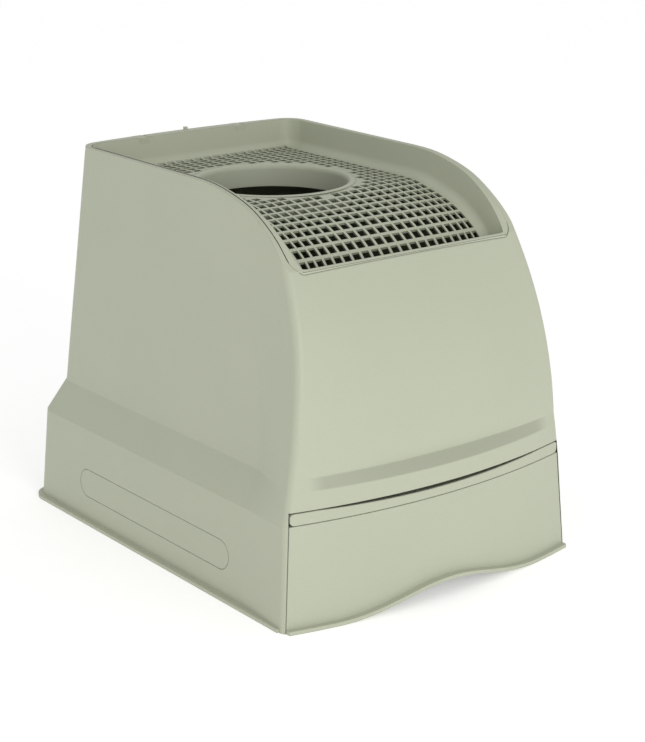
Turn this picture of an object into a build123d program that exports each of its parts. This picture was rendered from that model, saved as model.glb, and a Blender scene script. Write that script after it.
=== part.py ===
from build123d import *

"""Top-entry cat litter box: hood with a sunk, perforated lid, and a pull-out litter drawer.

Millimetres. The origin is on the floor under the middle of the box.
+X is the right-hand side seen from the front, +Y points to the back and +Z is up.
"""
import os
from math import cos, sin

os.makedirs("parts", exist_ok=True)

# ---------------------------------------------------------------- driving dimensions
WALL = 3.0  # moulded wall of the hood
PAN_WALL = 2.5  # moulded wall of drawer, lid and floor
RIM_Z = 444.5  # flat rear part of the hood's rim
MOUTH_Z = 131.2  # top of the drawer opening in the front
MOUTH_HALF_TOP = 191.4  # half width of that opening at its top and at the floor
MOUTH_HALF_FOOT = 201.2
LIP_OUT = 6.5  # foot flange of the hood and of the drawer front
LIP_THICK = 4.5
BLOCK_TOP_Z = 470.0  # top and back of the cutting blocks
BLOCK_BACK_Y = 320.0
SEAM = 0.8  # moulding gap between neighbouring pieces

# Sections of the hood: height, half width at the rear, half width at the front corner,
# front corner y, bow of the front, rear corner y.
HOOD_SECTIONS = [
    (0.0, 200.0, 204.5, -253.0, 25.0, 274.0),
    (114.0, 193.2, 196.6, -247.2, 24.0, 266.0),
    (152.0, 171.9, 192.0, -246.1, 28.5, 252.8),
    (165.0, 171.2, 189.8, -246.4, 19.0, 250.8),
    (210.0, 169.0, 183.8, -246.3, 18.7, 244.7),
    (250.0, 167.0, 178.1, -243.1, 13.0, 239.1),
    (290.0, 165.0, 172.0, -236.1, 8.4, 233.5),
    (330.0, 163.0, 166.5, -223.7, 4.3, 227.9),
    (371.0, 161.0, 161.4, -205.0, 1.0, 222.2),
    (450.0, 157.0, 157.4, -160.0, 1.0, 211.1),
]
# The foot flange, in the same values as the sections above, without the height.
LIP_SECTION = (206.5, 206.4, -255.0, 25.0, 274.5)
REAR_BOW = 10.0  # how far the middle of the rear wall stands behind its corners
SIDE_TURN = 80.0  # the front corner flares over this much of the side
FRONT_RADIUS = 8.0
REAR_RADIUS = 28.0

# Side profile of the rim, from the front edge of the lid back to the flat rear part.
RIM_CURVE = [(-206, 371), (-196, 381), (-180, 397), (-160, 412), (-132, 427), (-91, 438.5), (-26, 444.5)]
# Side profile of the sunk walking surface, from its front edge back to its flat part.
GRATE_CURVE = [(-180, 352), (-168, 366), (-142, 384.3), (-115, 396.4), (-75, 406.4), (-22, 411)]
GRATE_Z = 411.0

LID_HALF_TOP = 152.5  # opening in the hood that the lid drops into
LID_BACK_Y = 207.0
LID_FRONT_Y = -206.0
LID_FRONT_RADIUS = 14.0
LID_REAR_RADIUS = 24.0
LID_FOOT_RADIUS = 10.0  # concave fillet between the walking surface and its walls
LID_DRAFT = 6.0  # degrees by which the walls of the sunk lid lean inwards
LID_GAP = 0.6
LID_REAR_GAP = 2.7  # the rear edge of the lid swings past the rim here
LID_FRONT_ALLOWANCE = 7.8  # the draft takes this much off again at the height of the front edge

ENTRY_Y = 41.0  # middle of the round entry hole
ENTRY_RADIUS = 88.0  # clear opening inside the collar
COLLAR_DROP = 26.0

HOLE_SHARE = 0.74  # a hole takes this share of the spacing of its column and row
HOLE_ARC = 170.0  # columns close up towards the sides like points round this radius
HOLE_STEP = 0.0794  # angle between columns, radians
HOLE_COLUMNS = 11  # on each side of the middle one
HOLE_ROWS = 30
ROW_ARC = 596.0  # rows close up slightly towards the back in the same way
ROW_STEP = 0.0225
HOLE_FIRST_Y = -168.7

ARM_HALF = 7.0  # half width of each lid arm, with the gap and ear beside it
EAR_GAP = 1.0
EAR_THICK = 6.0
NOTCH_MID_Y = 220.0
NOTCH_LENGTH = 34.0
NOTCH_FOOT_Z = 427.5
REAR_PEG_Y = 221.0
PEG_WIDTH = 4.0
PEG_RISE = 3.0

ARM_REACH = 27.0
ARM_BEND = 19.0  # the arm is flush with the rim up to here, then drops to the knuckle
ARM_THICK = 6.3
ARM_TOP_Z = 444.2
PIN_FIT = 0.06
ENTRY_MARGIN = 15.0  # unperforated ring round the entry
COLLAR_WALL = 3.0
COLLAR_BRIM = 6.0
COLLAR_LIFT = 0.1
COLLAR_EDGE = 0.4
COLLAR_CROWN = 1.1
COLLAR_ROLL = 5.0

HINGE_Y = 230.0
HINGE_Z = 434.0
HINGE_X = 70.0
PIN_RADIUS = 2.0
KNUCKLE_RADIUS = 5.0

PILL_LENGTH = 311.0
PILL_HEIGHT = 34.0
PILL_Y = 11.5
PILL_Z = 48.5
SIDE_LEAN = 3.41  # degrees by which the lower side walls lean inwards

RUNNER_TOP_Z = 105.7
SCREW_Z = 95.0
SCREW_YS = (-150.0, -20.0, 110.0, 215.0)
SCREW_RADIUS = 1.5
BOSS_RADIUS = 4.0
BOSS_LENGTH = 2.4
WALL_INSIDE_X = 190.2  # where the bosses meet the runners

FLOOR_Z = 1.5
PAN_FLOOR_Z = 9.0
PAN_TOP_Z = 108.5
PAN_FRONT_Y = -238.0
PAN_CORNER = 30.0
PAN_FOOT_CORNER = 22.0
PAN_BACK_SLOPE = 8.0
PAN_BACK_Y = 236.0
PAN_HALF_TOP = 178.0
PAN_HALF_FOOT = 170.0
FLANGE_HALF = 187.0
FASCIA_SCREW_XS = (-130.0, 0.0, 130.0)
FASCIA_BOSS_LENGTHS = (21.0, 32.0, 21.0)  # the bowed front is further away in the middle
FASCIA_SCREW_Z = 92.0
BOSS_GAP = 0.3
SCREW_HEAD = 1.6
SCREW_HEAD_RADIUS = 3.0
FASCIA_HALF_FOOT = 200.3
FASCIA_HALF_TOP = 191.4
GUARD_HALF = 185.0
GUARD_INNER_HALF = 166.0
GUARD_THICK = 3.0
GRIP_HALF = 190.4
GRIP_ROUND = 5.0
GRIP_BACK_Y = -238.0
GRIP_CORNER_Y = -247.4
GRIP_MIDDLE_Y = -271.0
GRIP_DIP = 3.6
FLOOR_INSET = 5.0
FLOOR_UPSTAND = 14.0
FLOOR_FRONT_Y = -234.0
RUNNER_INNER_X = 181.0
RUNNER_FOOT_Z = 88.0
RUNNER_FRONT_Y = -226.0
RUNNER_BACK_Y = 238.0
STRIP_FOOT_Z = 116.5
STRIP_TOP_Z = 129.7
FASCIA_TOP_Z = 115.7
FASCIA_CORNER_FOOT_Y = -253.0  # outer corners and middle of the bowed front, at the foot and top
FASCIA_MIDDLE_FOOT_Y = -278.0
FASCIA_CORNER_TOP_Y = -247.4
FASCIA_MIDDLE_TOP_Y = -271.0
FASCIA_EDGE = 2.0
FASCIA_BACK_Y = -241.0
ARCH_HALF = 148.0  # half width and height of the finger arch under the drawer front
ARCH_RISE = 20.0


# ---------------------------------------------------------------- shared outlines
def blend_sections(height):
    """Values of the hood section at any height, between the two nearest listed ones."""
    for low, high in zip(HOOD_SECTIONS, HOOD_SECTIONS[1:]):
        if low[0] <= height <= high[0]:
            share = (height - low[0]) / (high[0] - low[0])
            return [a + share * (b - a) for a, b in zip(low[1:], high[1:])]
    raise ValueError("height outside the hood")


def hood_outline(height, inset=0.0, values=None):
    """Horizontal section of the hood at a height, moved inwards by inset."""
    rear_half, front_half, front_y, bow, rear_y = values or blend_sections(height)
    rear_half -= inset
    front_half -= inset
    front_y += inset
    rear_y -= inset
    turn_y = front_y + SIDE_TURN
    with BuildSketch(Plane.XY.offset(height)) as section:
        with BuildLine():
            ThreePointArc((-front_half, front_y), (0, front_y - bow), (front_half, front_y))
            Line((front_half, front_y), (rear_half, turn_y))
            Line((rear_half, turn_y), (rear_half, rear_y))
            ThreePointArc((rear_half, rear_y), (0, rear_y + REAR_BOW), (-rear_half, rear_y))
            Line((-rear_half, rear_y), (-rear_half, turn_y))
            Line((-rear_half, turn_y), (-front_half, front_y))
        make_face()
        corners = section.vertices().group_by(Axis.Y)
        fillet(corners[-1], REAR_RADIUS - inset)
        fillet(section.vertices().group_by(Axis.Y)[0], max(FRONT_RADIUS - inset, 1.0))
    return section.sketch


def hood_solid(inset, bottom=0.0):
    """The hood as a filled body, before its rim and openings are cut."""
    with BuildPart() as body:
        heights = [section[0] for section in HOOD_SECTIONS]
        heights[0] = bottom
        for low, high in zip(heights[:4], heights[1:4]):
            loft([hood_outline(low, inset), hood_outline(high, inset)], ruled=True)
        loft([hood_outline(height, inset) for height in heights[3:]])
    return body.part


def profile_block(curve, drop, front):
    """Everything above a curved side profile, lowered by drop, as one wide block.

    front lists the block's corners from its top front edge down to the start of the curve.
    """
    flat_y, flat_z = curve[-1]
    with BuildPart() as block:
        with BuildSketch(Plane.YZ):
            with BuildLine():
                Spline([(y, z - drop) for y, z in curve], tangents=[(1, 1.15), (1, 0)])
                Polyline((flat_y, flat_z - drop), (BLOCK_BACK_Y, flat_z - drop),
                         (BLOCK_BACK_Y, BLOCK_TOP_Z), *front, (curve[0][0], curve[0][1] - drop))
            make_face()
        extrude(amount=260, both=True)
    return block.part


def lid_frustum(inset):
    """The rounded, drafted well that the sunk lid fills, moved inwards by inset."""
    half = LID_HALF_TOP - inset
    front_y = LID_FRONT_Y + inset - LID_FRONT_ALLOWANCE
    back_y = LID_BACK_Y - inset
    with BuildPart() as well:
        with BuildSketch(Plane.XY.offset(RIM_Z + 1)) as top:
            with Locations((0, (front_y + back_y) / 2)):
                Rectangle(2 * half, back_y - front_y)
            corners = top.vertices().group_by(Axis.Y)
            fillet(corners[0], LID_FRONT_RADIUS - inset)
            fillet(top.vertices().group_by(Axis.Y)[-1], LID_REAR_RADIUS - inset)
        extrude(amount=-130, taper=LID_DRAFT)
    return well.part


def lid_opening(gap, rear_gap):
    """Upright prism through the opening in the hood, with a gap all round."""
    front_y = LID_FRONT_Y + gap
    back_y = LID_BACK_Y - rear_gap
    with BuildPart() as prism:
        with BuildSketch(Plane.XY.offset(340)):
            with Locations((0, (front_y + back_y) / 2)):
                Rectangle(2 * (LID_HALF_TOP - gap), back_y - front_y)
        extrude(amount=130)
        upright = prism.edges().filter_by(Axis.Z).group_by(Axis.Y)
        fillet(upright[0], LID_FRONT_RADIUS - gap)
        fillet(prism.edges().filter_by(Axis.Z).group_by(Axis.Y)[-1], LID_REAR_RADIUS - gap)
    return prism.part


# ---------------------------------------------------------------- hood
above_rim = profile_block(RIM_CURVE, 0.0, [(-330, BLOCK_TOP_Z)])
above_rim_inside = profile_block(RIM_CURVE, WALL, [(-330, BLOCK_TOP_Z)])
hood_inside = hood_solid(WALL) - above_rim_inside
lean = Plane(origin=(blend_sections(PILL_Z)[0], PILL_Y, PILL_Z), x_dir=(0, 1, 0),
             z_dir=Vector(1, 0, 0).rotate(Axis.Y, -SIDE_LEAN))
runner_spots = [(side * WALL_INSIDE_X, y, SCREW_Z) for side in (-1, 1) for y in SCREW_YS]

with BuildPart() as hood_shell:
    add(hood_solid(0.0))
    with BuildSketch():
        add(hood_outline(0.0, values=LIP_SECTION))
        with Locations((0, -290)):
            Rectangle(500, 90, mode=Mode.SUBTRACT)
    extrude(amount=LIP_THICK)
    add(above_rim, mode=Mode.SUBTRACT)
    add(hood_inside, mode=Mode.SUBTRACT)
    # The opening that the lid drops into.
    add(lid_opening(0.0, 0.0), mode=Mode.SUBTRACT)
    # The drawer opening.
    with BuildSketch(Plane.XZ.offset(225)):
        with BuildLine():
            Polyline((-MOUTH_HALF_FOOT, -1), (MOUTH_HALF_FOOT, -1), (MOUTH_HALF_TOP, MOUTH_Z),
                     (-MOUTH_HALF_TOP, MOUTH_Z), close=True)
        make_face()
    extrude(amount=100, mode=Mode.SUBTRACT)
    # Slots for the two side panels.
    with BuildSketch(lean):
        SlotOverall(PILL_LENGTH, PILL_HEIGHT)
    slot_tool = extrude(amount=8, both=True, mode=Mode.PRIVATE)
    add(slot_tool, mode=Mode.SUBTRACT)
    add(slot_tool.mirror(Plane.YZ), mode=Mode.SUBTRACT)
    # Bosses for the runner screws.
    for x, y, z in runner_spots:
        with Locations(Location((x, y, z), (0, 90 if x > 0 else -90, 0))):
            Cylinder(BOSS_RADIUS, BOSS_LENGTH, align=(Align.CENTER, Align.CENTER, Align.MIN))
            Cylinder(SCREW_RADIUS, BOSS_LENGTH, align=(Align.CENTER, Align.CENTER, Align.MIN),
                     mode=Mode.SUBTRACT)
    # Hinge ears behind the rear wall, with a notch for each lid arm between them.
    for side in (-1, 1):
        with Locations((side * HINGE_X, HINGE_Y - 6, HINGE_Z)):
            Box(2 * ARM_HALF + 2 * EAR_GAP + 2 * EAR_THICK, 22, 2 * KNUCKLE_RADIUS)
        with Locations((side * HINGE_X, NOTCH_MID_Y, NOTCH_FOOT_Z)):
            Box(2 * ARM_HALF + 2 * EAR_GAP, NOTCH_LENGTH, NOTCH_LENGTH, mode=Mode.SUBTRACT,
                align=(Align.CENTER, Align.CENTER, Align.MIN))
        with Locations(Location((side * HINGE_X, HINGE_Y, HINGE_Z), (0, 90, 0))):
            Cylinder(PIN_RADIUS, 60, mode=Mode.SUBTRACT)
    # Small moulded peg in the middle of the rear rim.
    with Locations((0, REAR_PEG_Y, RIM_Z)):
        Box(PEG_WIDTH, PEG_WIDTH, PEG_RISE, align=(Align.CENTER, Align.CENTER, Align.MIN))
print("hood", hood_shell.part.volume, len(hood_shell.part.solids()))
hood_shell.part.label = "hood_shell"
export_step(hood_shell.part, "parts/hood_shell.step")

# ---------------------------------------------------------------- sunk lid and entry collar
lid_air_front = [(-212, BLOCK_TOP_Z), (-212, 374)]
lid_body_front = [(-216, BLOCK_TOP_Z), (-216, 371)]
above_grate = profile_block(GRATE_CURVE, 0.0, lid_air_front)
above_grate_underside = profile_block(GRATE_CURVE, PAN_WALL, lid_body_front)
lid_air = lid_frustum(LID_GAP + PAN_WALL) & above_grate
well_foot = [edge for edge in lid_air.edges() if edge.center().Z < 425 and edge.center().Y > -195]
lid_air = fillet(well_foot, LID_FOOT_RADIUS)
lid_rim = (lid_opening(LID_GAP, LID_REAR_GAP) & profile_block(RIM_CURVE, PAN_WALL, [(-330, BLOCK_TOP_Z)]))
lid_block = (lid_frustum(LID_GAP) & lid_opening(LID_GAP, LID_REAR_GAP) & above_grate_underside) + lid_rim
lid_block = lid_block - above_rim


def column(index):
    """Middle and width of a column of holes; columns close up from the middle to the sides."""
    angle = HOLE_STEP * index
    return HOLE_ARC * sin(angle), HOLE_SHARE * HOLE_ARC * HOLE_STEP * cos(angle)


def row(index):
    """Middle and depth of a row of holes; rows close up from the front to the back."""
    angle = ROW_STEP * index
    return HOLE_FIRST_Y + ROW_ARC * sin(angle), HOLE_SHARE * ROW_ARC * ROW_STEP * cos(angle)


holes = []
for row_index in range(HOLE_ROWS):
    y, depth = row(row_index)
    for column_index in range(-HOLE_COLUMNS, HOLE_COLUMNS + 1):
        x, width = column(column_index)
        if Vector(x, y - ENTRY_Y).length > ENTRY_RADIUS + ENTRY_MARGIN:
            holes.append((x, y, width, depth))

with BuildPart() as top_lid:
    add(lid_block)
    add(lid_air, mode=Mode.SUBTRACT)
    # Arms and knuckles of the rear hinge.
    for side in (-1, 1):
        with Locations((side * HINGE_X, HINGE_Y - ARM_REACH, ARM_TOP_Z)):
            Box(2 * ARM_HALF, ARM_BEND, ARM_THICK, align=(Align.CENTER, Align.MIN, Align.MAX))
        with Locations((side * HINGE_X, HINGE_Y, HINGE_Z)):
            Box(2 * ARM_HALF, ARM_REACH - ARM_BEND + 2, KNUCKLE_RADIUS,
                align=(Align.CENTER, Align.MAX, Align.MIN))
        with Locations(Location((side * HINGE_X, HINGE_Y, HINGE_Z), (0, 90, 0))):
            Cylinder(KNUCKLE_RADIUS, 2 * ARM_HALF)
            Cylinder(PIN_RADIUS + PIN_FIT, 2 * ARM_HALF, mode=Mode.SUBTRACT)
    with BuildSketch(Plane.XY.offset(380)):
        with Locations((0, ENTRY_Y)):
            Circle(ENTRY_RADIUS + COLLAR_WALL + LID_GAP)
    extrude(amount=60, mode=Mode.SUBTRACT)
    with BuildSketch(Plane.XY.offset(300)):
        add([Location((x, y, 300)) * Rectangle(width, depth, mode=Mode.PRIVATE)
             for x, y, width, depth in holes])
    extrude(amount=118, mode=Mode.SUBTRACT)
print("lid", top_lid.part.volume, len(top_lid.part.solids()), len(holes))
top_lid.part.label = "top_lid"
export_step(top_lid.part, "parts/top_lid.step")

with BuildPart() as entry_collar:
    with BuildSketch(Plane.XZ):
        with BuildLine():
            outer = ENTRY_RADIUS + COLLAR_WALL
            Polyline((ENTRY_RADIUS, GRATE_Z - COLLAR_DROP), (outer, GRATE_Z - COLLAR_DROP),
                     (outer, GRATE_Z + COLLAR_LIFT), (outer + COLLAR_BRIM, GRATE_Z + COLLAR_LIFT),
                     (outer + COLLAR_BRIM, GRATE_Z + COLLAR_LIFT + COLLAR_EDGE))
            Spline((outer + COLLAR_BRIM, GRATE_Z + COLLAR_LIFT + COLLAR_EDGE),
                   (outer, GRATE_Z + COLLAR_CROWN), (ENTRY_RADIUS, GRATE_Z - COLLAR_ROLL),
                   tangents=[(-1, 0.1), (0, -1)])
            Line((ENTRY_RADIUS, GRATE_Z - COLLAR_ROLL), (ENTRY_RADIUS, GRATE_Z - COLLAR_DROP))
        make_face()
    revolve(axis=Axis.Z)
entry_collar.part = entry_collar.part.moved(Location((0, ENTRY_Y, 0)))
print("collar", entry_collar.part.volume, entry_collar.part.is_valid)
entry_collar.part.label = "entry_collar"
export_step(entry_collar.part, "parts/entry_collar.step")


# ---------------------------------------------------------------- litter drawer
def pan_section(height, half, front_y, back_y, radius):
    """One rounded-rectangle section of the litter pan."""
    with BuildSketch(Plane.XY.offset(height)) as section:
        with Locations((0, (front_y + back_y) / 2)):
            RectangleRounded(2 * half, back_y - front_y, radius)
    return section.sketch


with BuildPart() as litter_pan:
    loft([pan_section(PAN_FLOOR_Z, PAN_HALF_FOOT, PAN_FRONT_Y, PAN_BACK_Y - PAN_BACK_SLOPE,
                      PAN_FOOT_CORNER),
          pan_section(PAN_TOP_Z, PAN_HALF_TOP, PAN_FRONT_Y, PAN_BACK_Y, PAN_CORNER)])
    add(pan_section(PAN_TOP_Z - PAN_WALL, FLANGE_HALF, PAN_FRONT_Y - 2, PAN_BACK_Y + 4,
                    PAN_CORNER + 4))
    extrude(amount=PAN_WALL)
    loft([pan_section(PAN_FLOOR_Z + PAN_WALL, PAN_HALF_FOOT - PAN_WALL, PAN_FRONT_Y + PAN_WALL,
                      PAN_BACK_Y - PAN_BACK_SLOPE - PAN_WALL, PAN_FOOT_CORNER - PAN_WALL),
          pan_section(PAN_TOP_Z + 0.01, PAN_HALF_TOP - PAN_WALL, PAN_FRONT_Y + PAN_WALL,
                      PAN_BACK_Y - PAN_WALL, PAN_CORNER - PAN_WALL)], mode=Mode.SUBTRACT)
    for x in FASCIA_SCREW_XS:
        with Locations(Location((x, PAN_FRONT_Y, FASCIA_SCREW_Z), (90, 0, 0))):
            Cylinder(SCREW_RADIUS, 20, mode=Mode.SUBTRACT)
print("pan", litter_pan.part.volume, len(litter_pan.part.solids()))
litter_pan.part.label = "litter_pan"
export_step(litter_pan.part, "parts/litter_pan.step")


def front_region(height, half, corner_y, middle_y, back_y):
    """Plan shape between the bowed front of the drawer and a straight line behind it."""
    with BuildSketch(Plane.XY.offset(height)) as region:
        with BuildLine():
            ThreePointArc((-half, corner_y), (0, middle_y), (half, corner_y))
            Polyline((half, corner_y), (half, back_y), (-half, back_y), (-half, corner_y))
        make_face()
    return region.sketch


# Anti-spill frame that clips on the pan; its front bar is the grip above the drawer front.
with BuildPart() as spill_guard:
    with BuildSketch(Plane.XY.offset(PAN_TOP_Z)):
        with Locations((0, (PAN_FRONT_Y + PAN_BACK_Y) / 2)):
            RectangleRounded(2 * GUARD_HALF, PAN_BACK_Y - PAN_FRONT_Y, 32)
            RectangleRounded(2 * GUARD_INNER_HALF, PAN_BACK_Y - PAN_FRONT_Y - 28, 26,
                             mode=Mode.SUBTRACT)
    extrude(amount=GUARD_THICK)
    with BuildSketch(Plane.XY.offset(PAN_TOP_Z)):
        with Locations((0, GRIP_BACK_Y - GUARD_THICK / 2)):
            Rectangle(2 * GRIP_HALF - 2 * GRIP_ROUND, GUARD_THICK)
    extrude(amount=STRIP_FOOT_Z + GUARD_THICK - PAN_TOP_Z)
    add(front_region(STRIP_FOOT_Z, GRIP_HALF, GRIP_CORNER_Y, GRIP_MIDDLE_Y, GRIP_BACK_Y))
    extrude(amount=STRIP_TOP_Z - STRIP_FOOT_Z)
    add(front_region(STRIP_FOOT_Z + GUARD_THICK, GRIP_HALF - GUARD_THICK - 2, GRIP_CORNER_Y + 1.6,
                     GRIP_MIDDLE_Y + GUARD_THICK, GRIP_BACK_Y + 1))
    extrude(amount=30, mode=Mode.SUBTRACT)
    # The top edge dips in the middle so that fingers reach in behind the bar.
    with BuildSketch(Plane.XZ.offset(-GRIP_BACK_Y - 20)):
        with BuildLine():
            ThreePointArc((-GRIP_HALF + 30, STRIP_TOP_Z), (0, STRIP_TOP_Z - GRIP_DIP),
                          (GRIP_HALF - 30, STRIP_TOP_Z))
            Line((-GRIP_HALF + 30, STRIP_TOP_Z), (GRIP_HALF - 30, STRIP_TOP_Z))
        make_face()
    extrude(amount=80, mode=Mode.SUBTRACT)
    ends = spill_guard.edges().filter_by(Axis.Y).group_by(Axis.X)
    fillet([edge for edge in ends[0] + ends[-1] if edge.center().Z > STRIP_FOOT_Z - 0.1], GRIP_ROUND)
print("guard", spill_guard.part.volume, len(spill_guard.part.solids()))
spill_guard.part.label = "spill_guard"
export_step(spill_guard.part, "parts/spill_guard.step")

def arch_block(rise):
    """Everything below the finger arch, moved up by rise, in front of the pan."""
    with BuildPart() as block:
        with BuildSketch(Plane.XZ.offset(-FASCIA_BACK_Y - 5)):
            with BuildLine():
                Polyline((-210, rise), (-ARCH_HALF, rise))
                Spline((-ARCH_HALF, rise), (0, rise + ARCH_RISE), (ARCH_HALF, rise),
                       tangents=[(1, 0), (1, 0), (1, 0)])
                Polyline((ARCH_HALF, rise), (210, rise), (210, -5), (-210, -5), (-210, rise))
            make_face()
        extrude(amount=60)
    return block.part


# The foot lip is the part of this bowed slab that lies in the thin band above the arch.
with BuildPart() as lip_slab:
    add(front_region(0, FASCIA_HALF_FOOT, FASCIA_CORNER_FOOT_Y - LIP_OUT,
                     FASCIA_MIDDLE_FOOT_Y - LIP_OUT, FASCIA_BACK_Y))
    extrude(amount=ARCH_RISE + LIP_THICK + 1)
    add(front_region(0, FASCIA_HALF_FOOT - WALL, FASCIA_CORNER_FOOT_Y + FASCIA_EDGE,
                     FASCIA_MIDDLE_FOOT_Y + WALL, FASCIA_BACK_Y + 1))
    extrude(amount=ARCH_RISE + LIP_THICK + 1, mode=Mode.SUBTRACT)
foot_lip = lip_slab.part & arch_block(LIP_THICK)

with BuildPart() as drawer_front:
    loft([front_region(0, FASCIA_HALF_FOOT, FASCIA_CORNER_FOOT_Y, FASCIA_MIDDLE_FOOT_Y, FASCIA_BACK_Y),
          front_region(FASCIA_TOP_Z, FASCIA_HALF_TOP, FASCIA_CORNER_TOP_Y, FASCIA_MIDDLE_TOP_Y,
                       FASCIA_BACK_Y)], ruled=True)
    loft([front_region(-1, FASCIA_HALF_FOOT - WALL, FASCIA_CORNER_FOOT_Y + FASCIA_EDGE,
                       FASCIA_MIDDLE_FOOT_Y + WALL, FASCIA_BACK_Y + 1),
          front_region(FASCIA_TOP_Z - WALL, FASCIA_HALF_TOP - WALL, FASCIA_CORNER_TOP_Y + FASCIA_EDGE,
                       FASCIA_MIDDLE_TOP_Y + WALL, FASCIA_BACK_Y + 1)], ruled=True,
         mode=Mode.SUBTRACT)
    # Screw bosses reaching back to the pan.
    for x, length in zip(FASCIA_SCREW_XS, FASCIA_BOSS_LENGTHS):
        with Locations(Location((x, PAN_FRONT_Y - BOSS_GAP, FASCIA_SCREW_Z), (90, 0, 0))):
            Cylinder(BOSS_RADIUS, length, align=(Align.CENTER, Align.CENTER, Align.MIN))
            Cylinder(SCREW_RADIUS, length - 4, align=(Align.CENTER, Align.CENTER, Align.MIN),
                     mode=Mode.SUBTRACT)
    # Foot lip, and the finger arch that the lip follows.
    add(foot_lip)
    add(arch_block(0.0), mode=Mode.SUBTRACT)
print("front", drawer_front.part.volume, len(drawer_front.part.solids()))
drawer_front.part.label = "drawer_front"
export_step(drawer_front.part, "parts/drawer_front.step")

with BuildPart() as drawer_front_screws:
    for x in FASCIA_SCREW_XS:
        with Locations(Location((x, PAN_FRONT_Y + PAN_WALL + SCREW_HEAD, FASCIA_SCREW_Z), (90, 0, 0))):
            Cylinder(SCREW_HEAD_RADIUS, SCREW_HEAD, align=(Align.CENTER, Align.CENTER, Align.MIN))
            Cylinder(SCREW_RADIUS, 16, align=(Align.CENTER, Align.CENTER, Align.MIN))
drawer_front_screws.part.label = "drawer_front_screws"
export_step(drawer_front_screws.part, "parts/drawer_front_screws.step")

# ---------------------------------------------------------------- floor, runners, panels, pins
with BuildPart() as base_floor:
    add(hood_outline(FLOOR_Z, FLOOR_INSET))
    extrude(amount=FLOOR_UPSTAND)
    with BuildSketch(Plane.XY.offset(FLOOR_Z + PAN_WALL)):
        add(hood_outline(FLOOR_Z, FLOOR_INSET + PAN_WALL))
    extrude(amount=FLOOR_UPSTAND, mode=Mode.SUBTRACT)
    with Locations((0, FLOOR_FRONT_Y, 0)):
        Box(500, 200, 60, align=(Align.CENTER, Align.MAX, Align.CENTER), mode=Mode.SUBTRACT)
print("floor", base_floor.part.volume, len(base_floor.part.solids()))
base_floor.part.label = "base_floor"
export_step(base_floor.part, "parts/base_floor.step")

for name, side in (("left", -1), ("right", 1)):
    with BuildPart() as runner:
        with BuildSketch(Plane.XZ.offset(-RUNNER_BACK_Y)):
            with BuildLine():
                Polyline((side * RUNNER_INNER_X, RUNNER_TOP_Z), (side * WALL_INSIDE_X, RUNNER_TOP_Z),
                         (side * WALL_INSIDE_X, RUNNER_FOOT_Z),
                         (side * (WALL_INSIDE_X - PAN_WALL), RUNNER_FOOT_Z),
                         (side * (WALL_INSIDE_X - PAN_WALL), RUNNER_TOP_Z - PAN_WALL),
                         (side * RUNNER_INNER_X, RUNNER_TOP_Z - PAN_WALL), close=True)
            make_face()
        extrude(amount=RUNNER_BACK_Y - RUNNER_FRONT_Y)
        for y in SCREW_YS:
            with Locations(Location((side * WALL_INSIDE_X, y, SCREW_Z), (0, 90, 0))):
                Cylinder(SCREW_RADIUS, 12, mode=Mode.SUBTRACT)
    runner.part.label = f"{name}_runner"
    export_step(runner.part, f"parts/{name}_runner.step")

    with BuildPart() as screws:
        for y in SCREW_YS:
            head_x = side * (WALL_INSIDE_X - PAN_WALL - SCREW_HEAD)
            with Locations(Location((head_x, y, SCREW_Z), (0, 90 * side, 0))):
                Cylinder(SCREW_HEAD_RADIUS, SCREW_HEAD, align=(Align.CENTER, Align.CENTER, Align.MIN))
                Cylinder(SCREW_RADIUS, SCREW_HEAD + PAN_WALL + BOSS_LENGTH - 0.2,
                         align=(Align.CENTER, Align.CENTER, Align.MIN))
    screws.part.label = f"{name}_runner_screws"
    export_step(screws.part, f"parts/{name}_runner_screws.step")

    with BuildPart() as panel:
        with BuildSketch(lean):
            SlotOverall(PILL_LENGTH - SEAM, PILL_HEIGHT - SEAM)
        extrude(amount=-WALL - 0.3)
        with BuildSketch(lean.offset(-WALL - 0.3)):
            SlotOverall(PILL_LENGTH + 12, PILL_HEIGHT + 12)
        extrude(amount=-1.8)
    panel_part = panel.part if side > 0 else panel.part.mirror(Plane.YZ)
    panel_part.label = f"{name}_side_panel"
    export_step(panel_part, f"parts/{name}_side_panel.step")

    with BuildPart() as pin:
        with Locations(Location((side * HINGE_X, HINGE_Y, HINGE_Z), (0, 90, 0))):
            Cylinder(PIN_RADIUS, 2 * (ARM_HALF + EAR_GAP + EAR_THICK))
    pin.part.label = f"{name}_hinge_pin"
    export_step(pin.part, f"parts/{name}_hinge_pin.step")
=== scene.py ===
"""Top-entry cat litter box in sage-green moulded plastic, on a pale floor under soft light.

Lengths are in metres, as in the frame. The front of the box looks along -Y.
"""
from math import radians

import bpy
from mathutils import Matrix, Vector


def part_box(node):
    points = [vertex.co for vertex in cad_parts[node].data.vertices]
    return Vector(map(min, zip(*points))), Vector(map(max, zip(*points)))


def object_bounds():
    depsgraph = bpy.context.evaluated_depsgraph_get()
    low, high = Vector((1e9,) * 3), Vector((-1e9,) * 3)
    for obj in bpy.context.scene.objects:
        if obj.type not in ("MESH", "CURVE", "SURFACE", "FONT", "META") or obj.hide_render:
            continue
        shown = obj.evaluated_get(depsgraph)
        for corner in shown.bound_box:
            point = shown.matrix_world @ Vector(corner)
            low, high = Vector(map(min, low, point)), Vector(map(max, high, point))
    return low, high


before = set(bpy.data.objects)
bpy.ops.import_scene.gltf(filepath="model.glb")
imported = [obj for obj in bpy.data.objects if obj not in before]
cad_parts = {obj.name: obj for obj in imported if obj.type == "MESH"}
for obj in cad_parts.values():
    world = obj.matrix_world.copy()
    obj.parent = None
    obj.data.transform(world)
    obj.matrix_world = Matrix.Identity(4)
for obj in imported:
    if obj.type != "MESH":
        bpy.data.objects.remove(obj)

cad_low, cad_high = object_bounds()
lid_low, lid_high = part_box("top_lid")

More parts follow.
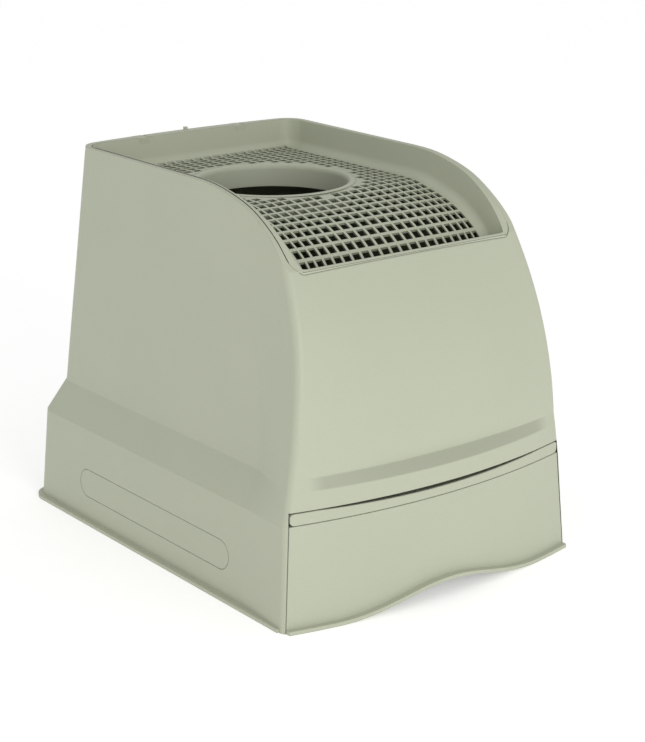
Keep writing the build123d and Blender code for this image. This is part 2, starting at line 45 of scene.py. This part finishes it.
# ---------------------------------------------------------------- colours (linear RGB)
SAGE = (0.447, 0.474, 0.362)
SAGE_PAINTED_SHADE = (0.215, 0.235, 0.165)  # painted half shade in moulding gaps, on the side panels' edges, on the sides of the lid's holes and under the lid
SAGE_PAINTED_DEEP_SHADE = (0.090, 0.102, 0.066)  # painted deep shade inside the hood and on the pan and the floor tray
RUNNER_GREY = (0.330, 0.350, 0.290)
STEEL = (0.560, 0.560, 0.540)
FLOOR_WHITE = (0.900, 0.900, 0.895)
PURE_WHITE = (1.0, 1.0, 1.0)

# ---------------------------------------------------------------- places on the object
# Shade is painted on the ledge on the front of the hood, as a darker tint. The painted shade fades
# by these lengths.
LEDGE_FOOT = 0.1520
LEDGE_TOP = 0.1650
LEDGE_HALF = 0.160
LEDGE_BACK = -0.235
LEDGE_EDGE_FADE = 0.0012
LEDGE_END_FADE = 0.012
LEDGE_BACK_FADE = 0.002
LEDGE_SHADE_TONE = 0.80

# Side profile of the hood's rim, as (depth, height) from the front to the rear.
RIM = [(-0.206, 0.371), (-0.196, 0.381), (-0.180, 0.397), (-0.160, 0.412), (-0.132, 0.427),
       (-0.091, 0.4385), (-0.026, 0.4445), (0.300, 0.4445)]
RIM_REACH = 0.0012  # faces this near to the rim's height belong to it
INSIDE_TOP = 0.0029  # the painted deep shade of the inside starts this far under the rim
INSIDE_FOOT = 0.010  # and ends at this height

# The gap round the pill-shaped panels low on the hood's sides.
PANEL_X = 0.190
PANEL_LOW = 0.028
PANEL_HIGH = 0.069

# The perforated part of the lid, and the circle under the collar round the entry.
GRATE_HALF = 0.1345
GRATE_FRONT = -0.174
GRATE_REAR = 0.1955
RING_MIDDLE = Vector(((lid_low[0] + lid_high[0]) / 2, 0.041))
RING_RADIUS = 0.0950

# The lid's outer edge swells by this much, which closes most of the gap beside the rim.
EDGE_SWELL = 0.00054
EDGE_BAND = 0.0004  # vertices this near to the lid's sides or front are on its outer edge

# Which way a face looks, as limits on its normal.
UPRIGHT = 0.3  # upright faces rise or fall less than this
SIDEWAYS = 0.6  # faces that don't look to the left or right stay under this
HOOD_CEILING = -0.7
LID_UNDERSIDE = -0.5
INWARD = -0.01  # inner faces look at the middle of the hood, and stay under this
DEPTH_SHARE = 0.5  # depth counts less than width in that, because the hood is deeper than wide

# ---------------------------------------------------------------- studio
FLOOR_REACH = 12.0
FLOOR_GLOW = 0.36  # the lit floor of a white studio
ROOM_LIGHT = 0.70
KEY_PLACE = (-0.50, -2.55, 1.05)
KEY_SIZE = 1.2
KEY_POWER = 20.5
CAMERA_PLACE = (-1.31387, -1.76684, 0.87208)
CAMERA_TILT = radians(72.76)
CAMERA_TURN = radians(-37.5)
CAMERA_LENS = 95.0
CAMERA_SENSOR = 36.0

MIX_COLOURS = (6, 7)  # the Mix node's two colour inputs, whose names aren't unique
MIX_RESULT = 2  # and its colour output


# ---------------------------------------------------------------- materials
class Surface:
    """A node material with its shader, and short ways to add the nodes that are used here."""

    def __init__(self, name):
        self.material = bpy.data.materials.new(name)
        self.material.use_nodes = True
        self.tree = self.material.node_tree
        self.shader = self.tree.nodes["Principled BSDF"]

    def add(self, kind, **settings):
        """Adds a node. Each setting is one of its properties, or else one of its inputs."""
        node = self.tree.nodes.new(kind)
        for key, value in settings.items():
            if hasattr(node, key):
                setattr(node, key, value)
            else:
                node.inputs[key.replace("_", " ")].default_value = value
        return node

    def link(self, output, socket):
        self.tree.links.new(output, socket)

    def set_shader(self, **values):
        """Sets the shader's own inputs, named with underscores for spaces."""
        for key, value in values.items():
            self.shader.inputs[key.replace("_", " ")].default_value = value

    def place(self):
        """Where a point is on the piece."""
        return self.add("ShaderNodeTexCoord").outputs["Object"]

    def noise(self, place, scale, detail):
        """Soft noise between 0 and 1, laid out by place."""
        node = self.add("ShaderNodeTexNoise", Scale=scale, Detail=detail)
        self.link(place, node.inputs["Vector"])
        return node.outputs["Fac"]

    def remap(self, value, start=0.0, end=1.0, low=0.0, high=1.0, curve="LINEAR"):
        """Takes start to end of a value to low to high, and clamps the rest."""
        node = self.add("ShaderNodeMapRange", interpolation_type=curve,
                        From_Min=start, From_Max=end, To_Min=low, To_Max=high)
        self.link(value, node.inputs["Value"])
        return node.outputs["Result"]

    def mix(self, share, *colours):
        """Goes from the first colour to the second. Each is a plain colour or an output."""
        node = self.add("ShaderNodeMix", data_type="RGBA")
        self.link(share, node.inputs[0])
        for number, colour in zip(MIX_COLOURS, colours):
            if isinstance(colour, tuple):
                node.inputs[number].default_value = (*colour, 1)
            else:
                self.link(colour, node.inputs[number])
        return node.outputs[MIX_RESULT]

    def bump(self, height, strength, distance, normal=None):
        """Gives the shader a normal with fine relief, over another normal if there is one."""
        node = self.add("ShaderNodeBump", Strength=strength, Distance=distance)
        self.link(height, node.inputs["Height"])
        if normal is not None:
            self.link(normal, node.inputs["Normal"])
        self.link(node.outputs["Normal"], self.shader.inputs["Normal"])


def toned(colour, share):
    """A colour made darker or paler."""
    return tuple(min(channel * share, 1) for channel in colour)


def ledge_shade_mask(surface, place):
    """Where shade is painted: 1 on the ledge above the drawer, fading out towards its two ends; 0
    elsewhere.
    """
    split = surface.add("ShaderNodeSeparateXYZ")
    surface.link(place, split.inputs["Vector"])
    off_middle = surface.add("ShaderNodeMath", operation="ABSOLUTE")
    surface.link(split.outputs["X"], off_middle.inputs[0])
    depth, height = split.outputs["Y"], split.outputs["Z"]
    mask = None
    for value, limit, fade in ((height, LEDGE_FOOT, LEDGE_EDGE_FADE),
                               (height, LEDGE_TOP, -LEDGE_EDGE_FADE),
                               (off_middle.outputs[0], LEDGE_HALF, -LEDGE_END_FADE),
                               (depth, LEDGE_BACK, -LEDGE_BACK_FADE)):
        inside = surface.remap(value, start=limit - fade, end=limit + fade, curve="SMOOTHSTEP")
        if mask is None:
            mask = inside
            continue
        both = surface.add("ShaderNodeMath", operation="MULTIPLY")
        surface.link(mask, both.inputs[0])
        surface.link(inside, both.inputs[1])
        mask = both.outputs[0]
    return mask


def moulded_plastic(name, colour, roughness=0.5, round_edges=0.0016, ledge=False):
    """Satin injection-moulded plastic: fine spark-eroded grain, faint flow marks, worn edges."""
    surface = Surface(name)
    place = surface.place()

    # Faint, broad variation of the colour, as pigment and flow leave it.
    flow = surface.noise(place, scale=7.0, detail=3.0)
    tint = surface.mix(flow, toned(colour, 0.965), toned(colour, 1.03))

    # Fine specks of the mould grain in the colour.
    speck = surface.noise(place, scale=900.0, detail=2.0)
    specked = surface.add("ShaderNodeVectorMath", operation="SCALE")
    surface.link(tint, specked.inputs[0])
    surface.link(surface.remap(speck, start=0.35, end=0.65, low=0.975, high=1.02),
                 specked.inputs["Scale"])

    # Edges rounded in the shading only, and polished slightly paler by handling.
    rounded = surface.add("ShaderNodeBevel", samples=6, Radius=round_edges).outputs["Normal"]
    plain = surface.add("ShaderNodeNewGeometry").outputs["Normal"]
    turn = surface.add("ShaderNodeVectorMath", operation="DOT_PRODUCT")
    surface.link(rounded, turn.inputs[0])
    surface.link(plain, turn.inputs[1])
    edge = surface.remap(turn.outputs["Value"], start=0.995, end=0.70, low=0.0, high=0.22)
    shown = surface.mix(edge, specked.outputs["Vector"], toned(colour, 1.16))
    # Painted shade: the ledge above the drawer is tinted darker.
    if ledge:
        shown = surface.mix(ledge_shade_mask(surface, place), shown, toned(colour, LEDGE_SHADE_TONE))
    surface.link(shown, surface.shader.inputs["Base Color"])

    # The roughness wanders a little, and the grain stands in the bump.
    wander = surface.noise(place, scale=38.0, detail=4.0)
    surface.link(surface.remap(wander, low=roughness - 0.06, high=roughness + 0.06),
                 surface.shader.inputs["Roughness"])
    pits = surface.noise(place, scale=1500.0, detail=2.0)
    surface.bump(pits, strength=0.055, distance=0.0004, normal=rounded)
    surface.set_shader(IOR=1.49, Subsurface_Weight=0.03, Subsurface_Radius=(0.004, 0.004, 0.003),
                       Subsurface_Scale=1.0)
    return surface.material


def plated_steel(name):
    """Zinc-plated steel with fine turning marks."""
    surface = Surface(name)
    marks = surface.noise(surface.place(), scale=600.0, detail=3.0)
    surface.link(surface.mix(marks, toned(STEEL, 0.85), STEEL), surface.shader.inputs["Base Color"])
    surface.link(surface.remap(marks, low=0.28, high=0.42), surface.shader.inputs["Roughness"])
    surface.bump(marks, strength=0.08, distance=0.0003)
    surface.set_shader(Metallic=1.0)
    return surface.material


def studio_floor(name):
    """Matt white floor that glows a little."""
    surface = Surface(name)
    surface.set_shader(Base_Color=(*FLOOR_WHITE, 1), Roughness=0.9, Specular_IOR_Level=0.1,
                       Emission_Color=(*PURE_WHITE, 1), Emission_Strength=FLOOR_GLOW)
    return surface.material


sage = moulded_plastic("sage_plastic", SAGE, ledge=True)
sage_fine = moulded_plastic("sage_plastic_thin", SAGE, round_edges=0.0008)
# Half shade painted as a darker copy of the sage plastic.
sage_painted_shade = moulded_plastic("sage_plastic_painted_shade", SAGE_PAINTED_SHADE, round_edges=0.0005)
# Deep shade painted as a much darker copy of the sage plastic.
sage_painted_deep_shade = moulded_plastic("sage_plastic_painted_deep_shade", SAGE_PAINTED_DEEP_SHADE, roughness=0.42)
runner_plastic = moulded_plastic("runner_plastic", RUNNER_GREY, roughness=0.36)
steel = plated_steel("plated_steel")


# ---------------------------------------------------------------- faces and their materials
def rim_height(y):
    """Height of the hood's rim at a depth, from its side profile."""
    for (y0, z0), (y1, z1) in zip(RIM, RIM[1:]):
        if y <= y1:
            return z0 + (z1 - z0) * max(y - y0, 0.0) / (y1 - y0)
    return RIM[-1][1]


def hood_slot(middle, normal):
    """0 on the outside of the hood, 1 inside, in painted deep shade, 2 on its rim, 3 in the gaps
    round the side panels, in painted half shade.
    """
    looks_in = normal.x * middle.x + normal.y * middle.y * DEPTH_SHARE < INWARD
    if looks_in or normal.z < HOOD_CEILING:
        if INSIDE_FOOT < middle.z < rim_height(middle.y) - INSIDE_TOP:
            return 1
    if normal.z > UPRIGHT and abs(middle.z - rim_height(middle.y)) < RIM_REACH:
        return 2
    at_panel = abs(middle.x) > PANEL_X and PANEL_LOW < middle.z < PANEL_HIGH
    return 3 if at_panel and abs(normal.x) < SIDEWAYS else 0


def panel_slot(middle, normal):
    """0 on the broad faces of a side panel, 1 on its edge, which gets painted half shade."""
    return 1 if abs(normal.x) < SIDEWAYS else 0


def lid_slot(middle, normal):
    """0 on the lid, 1 on the sides of its holes and underneath, which get painted half shade."""
    in_grate = abs(middle.x) < GRATE_HALF and GRATE_FRONT < middle.y < GRATE_REAR
    off_ring = (middle.xy - RING_MIDDLE).length > RING_RADIUS
    hole_side = abs(normal.z) < UPRIGHT and in_grate and off_ring
    return 1 if hole_side or normal.z < LID_UNDERSIDE else 0


def same_slot(middle, normal):
    """0 on every face of a piece that has one material."""
    return 0


def finish(node, slot, *materials):
    """Gives a piece its materials, and each face the one that its slot says."""
    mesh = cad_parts[node].data
    mesh.materials.clear()
    for material in materials:
        mesh.materials.append(material)
    for polygon in mesh.polygons:
        polygon.material_index = slot(polygon.center, polygon.normal)


finish("hood_shell", hood_slot, sage, sage_painted_deep_shade, sage_fine, sage_painted_shade)
finish("top_lid", lid_slot, sage_fine, sage_painted_shade)
for node in ("left_side_panel", "right_side_panel"):
    finish(node, panel_slot, sage_fine, sage_painted_shade)
for node in ("drawer_front", "spill_guard", "entry_collar"):
    finish(node, same_slot, sage)
# The pan and the floor tray are painted in deep shade, darker than their sage plastic.
for node in ("litter_pan", "base_floor"):
    finish(node, same_slot, sage_painted_deep_shade)
for node in ("left_runner", "right_runner"):
    finish(node, same_slot, runner_plastic)
for node in ("left_runner_screws", "right_runner_screws", "drawer_front_screws",
             "left_hinge_pin", "right_hinge_pin"):
    finish(node, same_slot, steel)

# ---------------------------------------------------------------- the lid's swollen outer edge
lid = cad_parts["top_lid"]
outer_edge = lid.vertex_groups.new(name="outer_edge")
outer_edge.add([vertex.index for vertex in lid.data.vertices
                if abs(vertex.co.x) > lid_high[0] - EDGE_BAND
                or vertex.co.y < lid_low[1] + EDGE_BAND], 1.0, "REPLACE")
swell = lid.modifiers.new("close_gap", "DISPLACE")
swell.vertex_group = "outer_edge"
swell.direction = "NORMAL"
swell.mid_level = 0.0
swell.strength = EDGE_SWELL

# ---------------------------------------------------------------- floor, light and camera
floor_mesh = bpy.data.meshes.new("studio_floor")
corners = [(-1, -1), (1, -1), (1, 1), (-1, 1)]
floor_mesh.from_pydata([(x * FLOOR_REACH, y * FLOOR_REACH, 0) for x, y in corners],
                       [], [(0, 1, 2, 3)])
floor_mesh.materials.append(studio_floor("studio_floor"))
floor = bpy.data.objects.new("studio_floor", floor_mesh)
bpy.context.collection.objects.link(floor)

world = bpy.data.worlds.new("studio")
bpy.context.scene.world = world
world.use_nodes = True
background = world.node_tree.nodes["Background"]
background.inputs["Color"].default_value = (*PURE_WHITE, 1)
background.inputs["Strength"].default_value = ROOM_LIGHT

# A large square light at the front left, which faces the middle of the box.
lamp = bpy.data.lights.new("key_light", "AREA")
lamp.size = KEY_SIZE
lamp.energy = KEY_POWER
key_light = bpy.data.objects.new("key_light", lamp)
key_light.location = KEY_PLACE
box_middle = (Vector(cad_low) + Vector(cad_high)) / 2
box_middle.z = cad_high[2] / 2
key_light.rotation_euler = (box_middle - Vector(KEY_PLACE)).to_track_quat("-Z", "Y").to_euler()
bpy.context.collection.objects.link(key_light)

camera_data = bpy.data.cameras.new("camera")
camera_data.lens = CAMERA_LENS
camera_data.sensor_width = CAMERA_SENSOR
camera = bpy.data.objects.new("camera", camera_data)
camera.location = CAMERA_PLACE
camera.rotation_euler = (CAMERA_TILT, 0.0, CAMERA_TURN)
bpy.context.collection.objects.link(camera)
bpy.context.scene.camera = camera
bpy.context.scene.view_settings.view_transform = "Standard"
